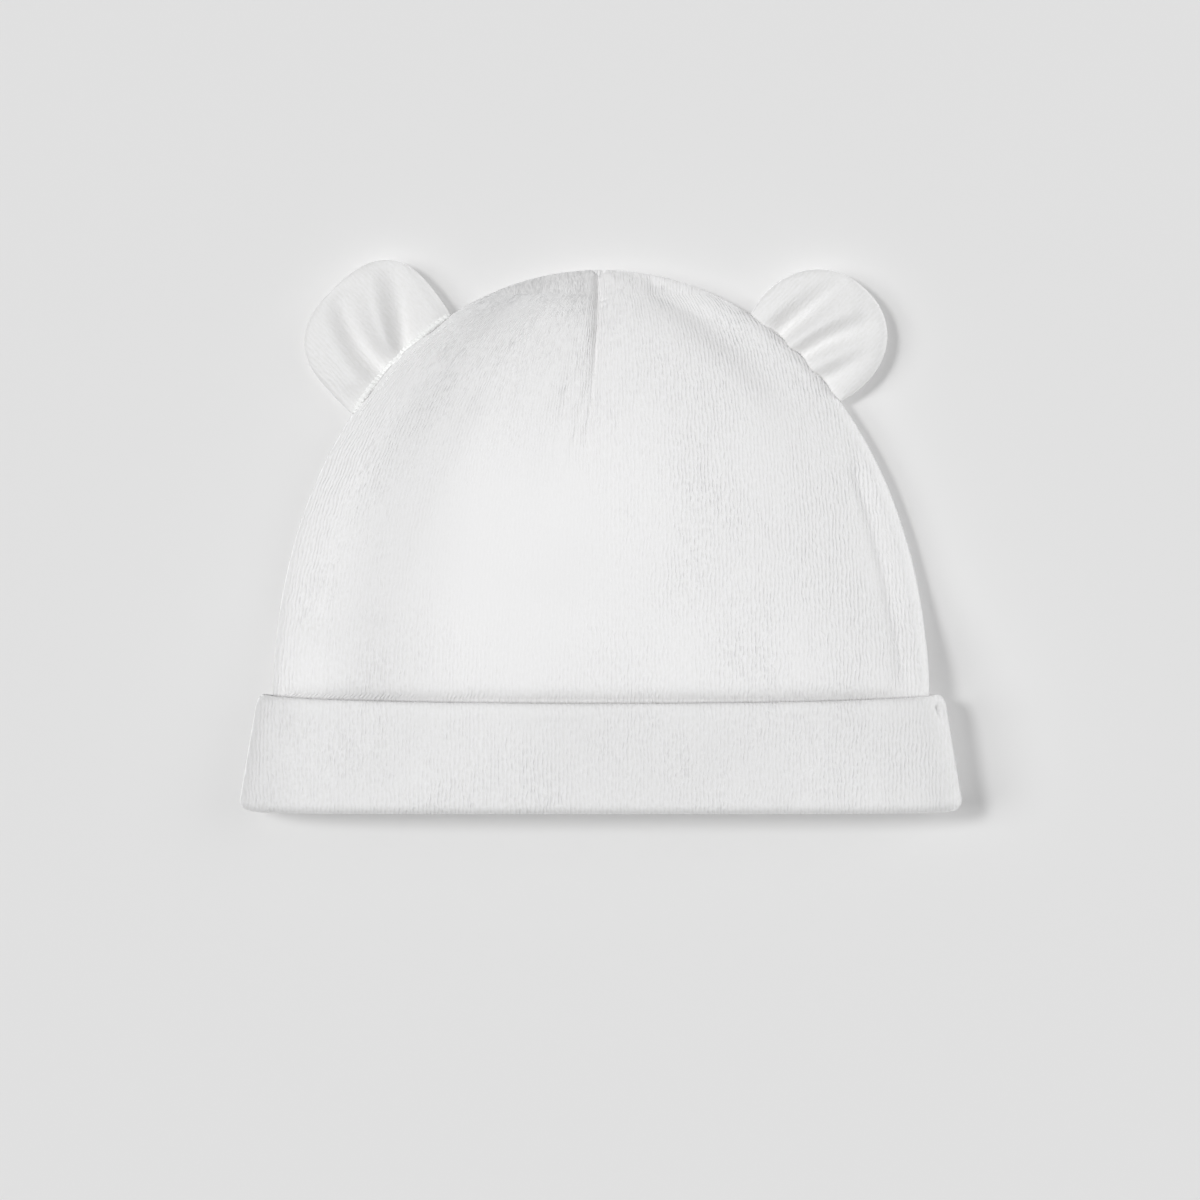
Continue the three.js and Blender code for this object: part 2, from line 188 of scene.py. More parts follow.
# Tucks of the ears, in the same columns: across in shares of the half width, along in shares of the height,
# widths in shares of the half width, and depths in shares of the thickness, negative for a valley
EAR_TUCKS = {
    "ear_left": [
        Fold(-0.21, -0.02, -0.26, 0.4, -0.06, 0.84, 0.21, 0.24, -0.7, -0.4),
        Fold(0, 0.08, 0.15, 0.45, 0.42, 0.8, 0.14, 0.17, 0.28, 0.16),
        Fold(0.13, 0.02, 0.44, 0.34, 0.7, 0.68, 0.23, 0.22, -0.7, -0.3),
        Fold(-0.64, 0.2, -0.56, 0.5, -0.43, 0.86, 0.18, 0.16, 0.18, 0.08),
        Fold(-0.85, 0, -0.86, 0.1, -0.88, 0.22, 0.12, 0.1, -0.18, -0.04),
        Fold(0.82, 0.11, 0.86, 0.35, 0.88, 0.6, 0.12, 0.1, 0.14, 0.06),
    ],
    "ear_right": [
        Fold(-0.45, -0.02, -0.4, 0.4, -0.335, 0.84, 0.2, 0.18, -0.68, -0.26),
        Fold(-0.15, 0.08, -0.04, 0.4, 0.1, 0.7, 0.14, 0.16, 0.26, 0.12),
        Fold(0, -0.02, 0.13, 0.36, 0.36, 0.7, 0.16, 0.22, -0.56, -0.24),
        Fold(0.52, -0.02, 0.6, 0.18, 0.68, 0.45, 0.15, 0.14, -0.46, -0.12),
        Fold(-0.73, 0.15, -0.74, 0.33, -0.73, 0.5, 0.17, 0.15, 0.14, 0.06),
        Fold(0.3, 0.05, 0.38, 0.25, 0.5, 0.45, 0.12, 0.12, 0.1, 0.04),
    ],
}

# The seam's strip at the left ear, evened out over so many of its steps, and its row of stitches
STRIP_INSET = -0.2
STRIP_HALF_WIDTH = 0.8
STRIP_HALF_HEIGHT = 0.65
STRIP_SINK = 0.1
STRIP_TWIST = 1.25
STRIP_STEPS = 260
STRIP_SIDES = 18
STRIP_EVENING = 41
STITCH_INSET = 1.75
STITCH_LENGTH = 1.15
STITCH_GAP = 0.5
STITCH_RADIUS = 0.17

# Velour and thread: the pitch of the wales in millimetres, how far they sway in radians, and how fine each
# noise is across and along a metre of the flat cloth
WALE_PITCH = 1.02
WALE_SWAY = 12
SWAY_SCALES = (260, 190, 1)
PATCH_SCALES = (55, 38, 1)
TUFT_SCALES = (1500, 620, 1)
BREAK_SCALES = (1100, 800, 1)
NAP_SCALES = (26, 19, 1)
STRAND_SCALES = (1600, 2600, 1)

# Places on the flat cloth, in metres: the smooth middle of the crown, how far from it the pile gets coarse,
# and the spans over which painted shade darkens the cloth
CALM_MIDDLE = (-0.024, 0.068, 0)
CALM_REACH = (0.014, 0.05)
SHADED_RIGHT = (0.018, 0.088)
SHADED_TOP = (0.085, 0.135)
LEFT_END = (-0.075, -0.089)
FOLD_OUTER = (-0.073, -0.062)
FOLD_INNER = (-0.056, -0.036)

# Tones of the cloth, 1 for none: the nap's broad random patches, and painted shade on its right and top,
# at its left end and in the left side fold
Tones = namedtuple("Tones", "patches right_top left_end side_fold", defaults=(0.978, 0.955, 1, 1))

# Soft suns, with azimuths counted from +X towards +Y, and the angle that each fills in the sky
Lamp = namedtuple("Lamp", "name azimuth elevation strength angle")
HAT_LAMPS = [
    Lamp("hat_key", 190, 73, 2.1, 25),
    Lamp("hat_from_above", 90, 55, 0.62, 40),
    Lamp("hat_from_right", 5, 12, 0.4, 25),
]
RIM_LAMP = Lamp("hat_rim", 10, -24, 1.4, 20)
FLOOR_LAMPS = [
    Lamp("floor_key", 163, 60, 1.1, 12),
    Lamp("floor_low_key", 180, 45, 0.8, 25),
    Lamp("floor_back_key", 20, 45, 0.26, 40),
]
SHADOWLESS_LAMP = Lamp("floor_fill", 0, 90, 0.76, 10)
HAT_LIGHT = (0.975, 0.988, 1)
FLOOR_LIGHT = (1, 1, 1)
SKY_STRENGTH = 0.2
FLOOR_TONE = 0.76
FLOOR_HALF_SIDE = 6

# Camera: the photograph's frame in millimetres, its middle from the hat's middle and the mouth's edge
FRAME_WIDTH = 307.5
FRAME_MIDDLE = (-0.26, 54.3)
CAMERA_HEIGHT = 1400
OUTLINE_HEIGHT = 8
SENSOR_WIDTH = 36


def mix(start, end, share):
    return start + (end - start) * share


def smooth(share):
    held = np.clip(share, 0, 1)
    return held * held * (3 - 2 * held)


def rounded(share, roundness):
    """A quarter of a superellipse: 1 where share is 0, and 0 where share is 1."""
    return (1 - np.clip(np.abs(share), 0, 1) ** roundness) ** (1 / roundness)


def lens(share, roundness, fullness):
    """A softly pointed lens: 1 where share is 0, and 0 where share is 1."""
    return (1 - np.clip(np.abs(share), 0, 1) ** roundness) ** fullness


def fold_curve(fold):
    """Points along the smooth curve through a fold's three points."""
    step = np.linspace(0, 1, CURVE_STEPS + 1)
    return (np.outer((1 - step) * (1 - 2 * step), (fold.x0, fold.y0))
            + np.outer(4 * step * (1 - step), (fold.x1, fold.y1))
            + np.outer(step * (2 * step - 1), (fold.x2, fold.y2)))


def fold_height(folds, x, y, across_unit=1, along_unit=1, depth_unit=1):
    """Height that the folds add at each place: soft grooves and ridges round their curves."""
    height = np.zeros_like(x)
    for fold in folds:
        curve = fold_curve(fold) * (across_unit, along_unit)
        nearest = np.full_like(x, np.inf)
        share = np.zeros_like(x)
        for index, (start, end) in enumerate(zip(curve[:-1], curve[1:])):
            run = end - start
            part = np.clip(((x - start[0]) * run[0] + (y - start[1]) * run[1]) / (run @ run), 0, 1)
            distance = np.hypot(x - start[0] - run[0] * part, y - start[1] - run[1] * part)
            closer = distance < nearest
            nearest = np.where(closer, distance, nearest)
            share = np.where(closer, (index + part) / CURVE_STEPS, share)
        width = mix(fold.width0, fold.width2, share) * across_unit
        height += mix(fold.depth0, fold.depth2, share) * depth_unit * np.exp(-(nearest / width) ** 2)
    return height


def ripple_height(x, y, seed):
    """Broad, shallow unevenness from a few long waves in fixed but mixed directions."""
    draw = np.random.default_rng(seed)
    height = np.zeros_like(x)
    for _ in range(RIPPLE_WAVES):
        heading, phase = draw.uniform(0, 2 * np.pi, 2)
        length = draw.uniform(*RIPPLE_LENGTHS)
        height += np.sin(2 * np.pi * (x * np.cos(heading) + y * np.sin(heading)) / length + phase)
    return height * RIPPLE_HEIGHT / math.sqrt(RIPPLE_WAVES / 2)


def hollow_half_width(y):
    crown_half = CROWN_WIDTH / 2 - VELOUR
    band = mix(CUFF_WIDTH / 2 - LAYERS, crown_half, (y - CUFF_ROLL) / (CROWN_START - CUFF_ROLL))
    dome = crown_half * rounded(np.maximum(0, y - CROWN_START) / HOLLOW_RISE, CROWN_ROUNDNESS)
    return np.where(y < CROWN_START, band, dome)


def share_across(turn):
    """Share of the half width at a turn: 0 to 1 crosses the front, and 1 to 2 comes back below."""
    even = np.where(turn <= 1, 1 - 2 * turn, 2 * turn - 3)
    return mix(even, np.sin(even * np.pi / 2), COLUMN_EASE)


def front_bulge(across, y):
    """Share of the front's rise: a flat band with round ends at the mouth, a lens higher up."""
    band = rounded(across, BAND_ROUNDNESS)
    dome = lens(across, SECTION_ROUNDNESS, SECTION_FULLNESS)
    return mix(band, dome, smooth((y - CUFF_HEIGHT) / BAND_FADE))


def hollow_points(turn, y):
    """Points of the hollow, before any fold."""
    across = share_across(turn)
    above_cuff = np.maximum(0, y - CROWN_START)
    floor = mix(LAYERS, VELOUR, smooth(above_cuff / FLOOR_EASE))
    rim = floor + RIM_RISE
    top = mix(LAYERS + MOUTH_OPENING, VELOUR + CROWN_DEPTH, smooth(y / PUFF_REACH))
    taper = lens(above_cuff / HOLLOW_RISE, TOP_ROUNDNESS, TOP_FULLNESS)
    front = rim + (top - rim) * taper * front_bulge(across, y)
    back = np.maximum(floor, rim - RIM_RISE * BACK_FLATNESS * taper * rounded(across, SECTION_ROUNDNESS))
    return np.stack([across * hollow_half_width(y), y, np.where(turn <= 1, front, back)], axis=-1)


def hollow_normals(turn, y):
    step = 1e-4
    along = hollow_points(turn, y + step) - hollow_points(turn, y - step)
    round_section = hollow_points((turn + step) % 2, y) - hollow_points((turn + 2 - step) % 2, y)
    normals = np.cross(along, round_section)
    return normals / np.linalg.norm(normals, axis=-1, keepdims=True)


def layer_points(turn, y, distance):
    """Points of a layer at a distance outside the hollow, with its folds, which fade near the outline."""
    TOP_FADE = 6
    points = hollow_points(turn, y)
    x = points[..., 0]
    folds = fold_height(CROWN_FOLDS, x, y - CROWN_START, CROWN_WIDTH / 2, CROWN_RISE, CROWN_DEPTH)
    fading = 1 - np.abs(share_across(turn)) ** RIM_FADE
    fading = fading * smooth(edge_distance(x, y) / TOP_FADE)
    reach = distance + np.where(turn < 1, folds * fading, 0)
    return points + hollow_normals(turn, y) * reach[..., None]


def edge_distance(x, y):
    """About how far a place lies inside the crown's outline, held above 0 near the middle."""
    MIDDLE_REACH = CROWN_WIDTH / 4
    risen = np.maximum(0, y - CROWN_START)
    ring = (np.abs(x) / (CROWN_WIDTH / 2)) ** CROWN_ROUNDNESS + (risen / CROWN_RISE) ** CROWN_ROUNDNESS
    return (1 - ring ** (1 / CROWN_ROUNDNESS)) * np.maximum(np.hypot(x, risen), MIDDLE_REACH)


def cuff_top(turn):
    return CUFF_HEIGHT + CUFF_END_RISE * share_across(turn) ** 2


def crown_relief(turn, x, y):
    """The crown's own fine relief: creases, ripples, side welt, and the groove and swell above the cuff."""
    CREASE_FADE = 2.4
    # The welt fades out on the way up, by these levels and slopes in shares of the crown's rise
    RIGHT_LEVEL, RIGHT_SLOPE = 3.6, 3.7
    LEFT_LEVEL, LEFT_SLOPE = 1.6, 2
    creases = fold_height(CROWN_CREASES, x, y)
    ripples = ripple_height(x, y, seed=3)
    edge = edge_distance(x, y)
    risen = (y - CROWN_START) / CROWN_RISE
    right = smooth(RIGHT_LEVEL - RIGHT_SLOPE * risen)
    left = WELT_LEFT_SHARE * smooth(LEFT_LEVEL - LEFT_SLOPE * risen)
    side = np.where(x > 0, right, left)
    welt = WELT_HEIGHT * side * np.exp(-((edge - WELT_PLACE) / WELT_WIDTH) ** 2)
    free = smooth((y - CROWN_START + CUFF_TOP_FOLD) / CUFF_TOP_FOLD)
    above = y - cuff_top(turn) - GROOVE_START
    groove = np.exp(-np.maximum(0, above) / GROOVE_WIDTH - (np.minimum(0, above) / GROOVE_WIDTH) ** 2)
    short_of_full = 1 - np.clip(above / SWELL_START, 0, 1)
    swell = SWELL_HEIGHT * (1 - short_of_full ** 2) * (1 - smooth(above / SWELL_END))
    fading = 1 - np.abs(share_across(turn)) ** RIM_FADE
    relief = (creases * smooth(edge / CREASE_FADE) + ripples + welt) * free - GROOVE_DEPTH * groove + swell
    return np.where(turn < 1, relief * fading, 0)


def crown_points(turn, y, distance):
    points = layer_points(turn, y, distance)
    return points + hollow_normals(turn, y) * crown_relief(turn, points[..., 0], y)[..., None]


def column_turns(front_columns, back_columns):
    front = np.arange(front_columns) / front_columns
    back = 1 + np.arange(back_columns) / back_columns
    return np.concatenate([front, back])


# Where the columns of the crown and the cuff lie round their section
hat_turns = column_turns(FRONT_COLUMNS, BACK_COLUMNS)


def closed_columns(values):
    return np.concatenate([values, values[:, :1]], axis=1)


def ring_surface(rings, cloth, start_pole=None, end_pole=None, closed=False):
    """Points, faces and the corners' places on the flat cloth, of a surface through rings of points.

    rings is an array of rows by columns by 3, and cloth one of rows by columns + 1 by 2."""
    rows, columns = rings.shape[:2]
    points = rings.reshape(-1, 3)
    row = np.arange(rows if closed else rows - 1)[:, None]
    column = np.arange(columns)[None, :]
    above = (row + 1) % rows
    after = (column + 1) % columns
    corners = [(row, column), (above, column), (above, after), (row, after)]
    faces = np.stack(np.broadcast_arrays(*[at * columns + across for at, across in corners]), axis=-1)
    faces = faces.reshape(-1, 4).tolist()
    places = np.stack([
        cloth[row, column], cloth[above, column], cloth[above, column + 1], cloth[row, column + 1],
    ], axis=2).reshape(-1, 2)
    if start_pole is not None:
        points = np.concatenate([points, [start_pole, end_pole]])
        last = (rows - 1) * columns
        for index in range(columns):
            following = (index + 1) % columns
            faces.append([len(points) - 2, index, following])
            faces.append([len(points) - 1, last + following, last + index])
        start_places = np.stack([cloth[0, :-1], cloth[0, :-1], cloth[0, 1:]], axis=1)
        end_places = np.stack([cloth[-1, :-1], cloth[-1, 1:], cloth[-1, :-1]], axis=1)
        caps = np.stack([start_places, end_places], axis=1).reshape(-1, 2)
        places = np.concatenate([places, caps])
    return points, faces, places


def make_piece(name, surfaces, node, materials):
    """A piece of one or more surfaces, moved into the frame, that stands for a node or adds to the hat."""
    points, faces, places = [], [], []
    for surface_points, surface_faces, surface_places in surfaces:
        faces += [[corner + len(points) for corner in face] for face in surface_faces]
        points += ((surface_points + np.array([0, MOUTH_Y, 0])) * MM).tolist()
        places.append(surface_places * MM)
    mesh = bpy.data.meshes.new(name)
    mesh.from_pydata(points, [], faces)
    layer = mesh.uv_layers.new(name="cloth")
    layer.data.foreach_set("uv", np.concatenate(places).ravel())
    mesh.polygons.foreach_set("use_smooth", [True] * len(mesh.polygons))
    mesh.update()
    for material in materials:
        mesh.materials.append(material)
    piece = bpy.data.objects.new(name, mesh)
    bpy.context.scene.collection.objects.link(piece)
    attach(piece, "root")
    if node:
        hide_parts(node)
    return piece


def add_node(tree, kind, inputs, **settings):
    """A shader node with its settings and its inputs, each a socket to link or a value."""
    made = tree.nodes.new(kind)
    for name, value in settings.items():
        setattr(made, name, value)
    for key, value in inputs.items():
        if isinstance(value, bpy.types.NodeSocket):
            tree.links.new(value, made.inputs[key])
        else:
            made.inputs[key].default_value = value
    return made


def math_node(tree, operation, *values):
    return add_node(tree, "ShaderNodeMath", dict(enumerate(values)), operation=operation).outputs["Value"]


def noise_node(tree, place, scales, detail, roughness=0.5):
    scaled = add_node(tree, "ShaderNodeMapping", {"Vector": place, "Scale": scales}).outputs["Vector"]
    inputs = {"Vector": scaled, "Scale": 1, "Detail": detail, "Roughness": roughness}
    return add_node(tree, "ShaderNodeTexNoise", inputs).outputs["Fac"]


def range_node(tree, value, low, high, to_low, to_high):
    inputs = {"Value": value, "From Min": low, "From Max": high, "To Min": to_low, "To Max": to_high}
    return add_node(tree, "ShaderNodeMapRange", inputs).outputs["Result"]


def new_tree(name):
    """An empty node tree of a new material, and the place on the flat cloth."""
    material = bpy.data.materials.new(name)
    material.use_nodes = True
    tree = material.node_tree
    tree.nodes.clear()
    return material, tree, add_node(tree, "ShaderNodeUVMap", {}, uv_map="cloth").outputs["UV"]


def painted_shade_ramp(tree, relief, color, low, high):
    """The cloth's colour with painted shade: a little darker and warmer in the depths of its relief."""
    # Painted shade: the share of each colour left in the relief's depths, with less blue for a warmer shade
    PAINTED_SHADE_SHARES = (0.94, 0.94, 0.9259)
    ramp = add_node(tree, "ShaderNodeValToRGB", {"Fac": relief})
    deep, proud = ramp.color_ramp.elements
    deep.position = low
    deep.color = (*[part * share for part, share in zip(color, PAINTED_SHADE_SHARES)], 1)
    proud.position = high
    proud.color = (*color, 1)
    return ramp.outputs["Color"]


def velour_relief(tree, place, across, wale_share):
    """Height of the pile: tufts on fine wales that sway and break off, and a smoother middle of the crown."""
    PATCHES = (0.35, 0.65)
    WEAKEST_WALES = 0.55
    BREAKS = (0.32, 0.62)
    BROKEN_WALES = 0.15
    CALM_SHARE = 0.16
    COARSENESS = (0.8, 1.1)
    LEVEL = 0.5
    sway = noise_node(tree, place, SWAY_SCALES, 3)
    swayed = math_node(tree, "MULTIPLY", sway, WALE_SWAY)
    turned = math_node(tree, "MULTIPLY_ADD", across, 2 * math.pi / (WALE_PITCH * MM), swayed)
    wale = math_node(tree, "SINE", turned)
    patches = noise_node(tree, place, PATCH_SCALES, 3)
    strength = range_node(tree, patches, *PATCHES, WEAKEST_WALES * wale_share, wale_share)
    tufts = noise_node(tree, place, TUFT_SCALES, 3, 0.6)
    breaks = noise_node(tree, place, BREAK_SCALES, 1)
    broken = math_node(tree, "MULTIPLY", strength, range_node(tree, breaks, *BREAKS, BROKEN_WALES, 1))
    ribbed = math_node(tree, "MULTIPLY_ADD", wale, broken, tufts)
    from_calm = {0: place, 1: CALM_MIDDLE}
    away = add_node(tree, "ShaderNodeVectorMath", from_calm, operation="DISTANCE").outputs["Value"]
    calm = range_node(tree, away, *CALM_REACH, CALM_SHARE, 1)
    coarse = math_node(tree, "MULTIPLY", calm, range_node(tree, patches, *PATCHES, *COARSENESS))
    centred = math_node(tree, "SUBTRACT", ribbed, LEVEL)
    return math_node(tree, "MULTIPLY_ADD", centred, coarse, LEVEL)


def nap_tone_and_painted_shade(tree, place, parts, tones):
    """Nap in random patches, times painted shade on the right and top, the left end and the side fold."""
    NAP_PATCHES = (0.32, 0.68)
    # Painted shade: darker across the left side fold, between its outer and inner edges
    outer = range_node(tree, parts["X"], *FOLD_OUTER, 1, tones.side_fold)
    inner = range_node(tree, parts["X"], *FOLD_INNER, tones.side_fold, 1)
    tone = math_node(tree, "MAXIMUM", outer, inner)
    for tone_factor in [
        range_node(tree, noise_node(tree, place, NAP_SCALES, 3), *NAP_PATCHES, tones.patches, 1),
        # Painted shade: darker towards the right and towards the top
        range_node(tree, parts["X"], *SHADED_RIGHT, 1, tones.right_top),
        range_node(tree, parts["Y"], *SHADED_TOP, 1, tones.right_top),
        # Painted shade: darker towards the left end
        range_node(tree, parts["X"], *LEFT_END, 1, tones.left_end),
    ]:
        tone = math_node(tree, "MULTIPLY", tone, tone_factor)
    return tone


def velour_material(name, color, wale_share, pile_depth, tones=Tones()):
    """White velour: short pile in tufts along fine wales, from the cloth's own places."""
    DEPTHS = (0.25, 0.7)
    material, tree, place = new_tree(name)
    parts = add_node(tree, "ShaderNodeSeparateXYZ", {"Vector": place}).outputs
    relief = velour_relief(tree, place, parts["X"], wale_share)
    bump = add_node(tree, "ShaderNodeBump", {"Strength": 1, "Distance": pile_depth * MM, "Height": relief})
    # Painted shade in the depths of the pile's relief
    shaded = painted_shade_ramp(tree, relief, color, *DEPTHS)
    # The nap's random patches, times painted shade on the right and top, at the left end and in the left side
    # fold
    tone = nap_tone_and_painted_shade(tree, place, parts, tones)
    toned = add_node(tree, "ShaderNodeHueSaturation", {"Color": shaded, "Value": tone})
    shader = add_node(tree, "ShaderNodeBsdfPrincipled", {
        "Base Color": toned.outputs["Color"], "Roughness": 0.95, "Specular IOR Level": 0.12,
        "Sheen Weight": 0.8, "Sheen Roughness": 0.45, "Normal": bump.outputs["Normal"],
    })
    add_node(tree, "ShaderNodeOutputMaterial", {"Surface": shader.outputs["BSDF"]})
    return material


def thread_material(name, color):
    """Twisted white sewing thread."""
    STRAND_DEPTH = 0.12
    DEPTHS = (0.3, 0.65)
    material, tree, place = new_tree(name)
    strands = noise_node(tree, place, STRAND_SCALES, 2)
    bump = add_node(tree, "ShaderNodeBump", {"Strength": 1, "Distance": STRAND_DEPTH * MM, "Height": strands})
    # Painted shade in the depths of the thread's strands
    shader = add_node(tree, "ShaderNodeBsdfPrincipled", {
        "Base Color": painted_shade_ramp(tree, strands, color, *DEPTHS), "Roughness": 0.8,
        "Specular IOR Level": 0.2, "Sheen Weight": 0.2, "Normal": bump.outputs["Normal"],
    })
    add_node(tree, "ShaderNodeOutputMaterial", {"Surface": shader.outputs["BSDF"]})
    return material


def plain_material(name, color, roughness):
    material = bpy.data.materials.new(name)
    material.use_nodes = True
    shader = material.node_tree.nodes["Principled BSDF"]
    shader.inputs["Base Color"].default_value = (*color, 1)
    shader.inputs["Roughness"].default_value = roughness
    shader.inputs["Specular IOR Level"].default_value = 0
    return material


def cloth_places(rings):
    """Places on the flat cloth, from each ring's x and y. The back's cloth starts past the side seam."""
    BACK_START = 400
    LEFT_FAN, RIGHT_FAN = 0.85, 0.15
    NARROWEST = 0.3
    x, y = closed_columns(rings[..., 0]), closed_columns(rings[..., 1])
    narrowing = np.where(y > CROWN_START, hollow_half_width(y) * 2 / CROWN_WIDTH, 1)
    fanned = x / np.maximum(NARROWEST, narrowing)
    across = mix(x, fanned, np.where(x < 0, LEFT_FAN, RIGHT_FAN))
    column = np.arange(x.shape[1])
    return np.stack([np.where(column[None, :] <= FRONT_COLUMNS, across, x + BACK_START), y], axis=-1)


def surface_tree(surface):
    """A tree of a surface's faces, which finds the nearest point or the one below."""
    points, faces, _ = surface
    return BVHTree.FromPolygons(points.tolist(), faces)


def make_crown(materials):
    """The crown's wall, outside in the first material and inside in the second, and a tree of its outside."""
    INSIDE_SLOT = 1
    band = np.linspace(MOUTH_EDGE, CROWN_START, BAND_ROWS + 1)
    risen = np.sin((np.arange(CROWN_ROWS) + 1) / (CROWN_ROWS + 1) * np.pi / 2)
    outer_rows = np.concatenate([band, CROWN_START + HOLLOW_RISE * risen])
    inner_rows = outer_rows[::INNER_STEP][::-1]
    inside = crown_points(*np.meshgrid(hat_turns, inner_rows), 0)
    outside = crown_points(*np.meshgrid(hat_turns, outer_rows), VELOUR)
    rings = np.concatenate([inside, outside])
    top = CROWN_START + HOLLOW_RISE
    pole_z = VELOUR + RIM_RISE
    surface = ring_surface(rings, cloth_places(rings), (0, top, pole_z), (0, top + VELOUR, pole_z))
    piece = make_piece("crown_velour", [surface], "crown", materials)
    indices = np.zeros(len(piece.data.polygons), dtype=np.int32)
    indices[:len(inner_rows) * len(hat_turns)] = INSIDE_SLOT
    # The caps come last, and their faces lie at the inner and the outer top by turns
    indices[-2 * len(hat_turns)::2] = INSIDE_SLOT
    piece.data.polygons.foreach_set("material_index", indices)
    return piece, surface_tree(ring_surface(outside, cloth_places(outside)))


def cuff_section_rows(turn):
    """Distances from the hollow and y of the cuff's section at each column, as rows by columns."""
    ROUND_STEPS, FACE_STEPS, HIDDEN_STEPS = 17, 52, 12
    inner = VELOUR + CLEARANCE
    fold_start = (cuff_top(turn) - CUFF_TOP_FOLD)[None, :]
    angle = np.linspace(0, np.pi, ROUND_STEPS)[:, None]
    climb = np.linspace(0, 1, FACE_STEPS)[1:-1, None]
    descent = np.linspace(0, 1, HIDDEN_STEPS)[1:, None]
    sections = [
        (LAYERS * (1 - np.cos(angle)) / 2, CUFF_ROLL * (1 - np.sin(angle))),
        (LAYERS * np.ones_like(climb), mix(CUFF_ROLL, fold_start, climb)),
        (inner + CUFF_WALL * (1 + np.cos(angle)) / 2, fold_start + CUFF_TOP_FOLD * np.sin(angle)),
        (inner * np.ones_like(descent), mix(fold_start, CUFF_ROLL, descent)),
    ]
    full = [np.broadcast_arrays(distance, y, turn[None, :])[:2] for distance, y in sections]
    return np.concatenate([part[0] for part in full]), np.concatenate([part[1] for part in full])


def make_cuff(materials):
    """The doubled band, with soft wrinkles and dents in its outer face."""
    distances, y = cuff_section_rows(hat_turns)
    turn = np.broadcast_to(hat_turns, y.shape)
    rings = layer_points(turn, y, distances)
    x = rings[..., 0]
    outward = np.clip((distances - VELOUR - CLEARANCE) / CUFF_WALL, 0, 1)
    ripples = ripple_height(x, y, seed=8) * (1 - np.abs(share_across(turn)) ** RIM_FADE)
    relief = np.where(turn < 1, (fold_height(CUFF_CREASES, x, y) + ripples) * outward, 0)
    rings = rings + hollow_normals(turn, y) * relief[..., None]
    steps = np.linalg.norm(np.diff(rings, axis=0), axis=-1)
    arc = np.concatenate([np.zeros((1, steps.shape[1])), np.cumsum(steps, axis=0)])
    places = cloth_places(rings)
    places[..., 1] = closed_columns(arc)
    return make_piece("cuff_velour", [ring_surface(rings, places, closed=True)], "cuff", materials)


def ear_frame(ear):
    """The middle of an ear at the seam, and its directions along the seam and outwards."""
    share = rounded(ear.seat, CROWN_ROUNDNESS)
    seam = np.array([ear.side * share * CROWN_WIDTH / 2, CROWN_START + ear.seat * CROWN_RISE, 0])
    slope_x = share ** (CROWN_ROUNDNESS - 1) / (CROWN_WIDTH / 2)
    slope_y = ear.seat ** (CROWN_ROUNDNESS - 1) / CROWN_RISE
    turned = math.atan2(slope_y, slope_x) + math.radians(ear.turn)
    outward = np.array([ear.side * math.cos(turned), math.sin(turned), 0])
    middle = seam - outward * EAR_SEAT_DEPTH
    middle[2] = EAR_UNDERSIDE + EAR_THICKNESS / 2
    return middle, np.array([outward[1], -outward[0], 0]), outward


def ear_points(ear, turn, height, reach=1):
    """Points of an ear at turns round its section and heights above the seam.

    reach is the share of the way from the section's middle to the surface."""
    middle, along, outward = ear_frame(ear)
    half_width = EAR_WIDTH * ear.width / 2
    full_height = EAR_HEIGHT * ear.height
    shoulder = ear.shoulder * full_height
    risen = np.sin(np.clip(height / shoulder, 0, 1) * np.pi / 2)
    tip = np.clip((height - shoulder) / (full_height - shoulder), 0, 1)
    half = half_width * mix(ear.base, 1, risen) * rounded(tip, EAR_ROUNDNESS * ear.roundness)
    thickness = EAR_THICKNESS * mix(PINCH, 1, risen) * rounded(tip, EAR_ROUNDNESS)
    lean = half_width * ear.lean * np.maximum(0, height) / full_height
    across = share_across(turn)
    bulge = rounded(across, EAR_ROUNDNESS)
    tuck = fold_height(EAR_TUCKS[ear.name], across * half, height, half_width, full_height, EAR_THICKNESS)
    tuck = np.where(turn < 1, tuck * bulge * thickness / EAR_THICKNESS, 0)
    z = np.where(turn < 1, 1, -1) * thickness / 2 * bulge + tuck
    sideways = (across * half * reach + lean)[..., None]
    upwards = (z * reach)[..., None] * np.array([0, 0, 1])
    return middle + along * sideways + outward * height[..., None] + upwards


def seat_heights(ear, turn, reach, crown_tree):
    """Height at which each column of an ear clears the crown's surface, found by halving."""
    SEARCH_STEPS = 18
    inside = np.full_like(turn, -EAR_THICKNESS)
    outside = np.full_like(turn, EAR_HEIGHT / 2)
    for _ in range(SEARCH_STEPS):
        middle = (inside + outside) / 2
        for index, point in enumerate(ear_points(ear, turn, middle, reach)):
            nearest, normal, _, distance = crown_tree.find_nearest(Vector(point))
            signed = distance if (Vector(point) - nearest).dot(normal) > 0 else -distance
            if signed > EAR_CLEARANCE:
                outside[index] = middle[index]
            else:
                inside[index] = middle[index]
    return outside


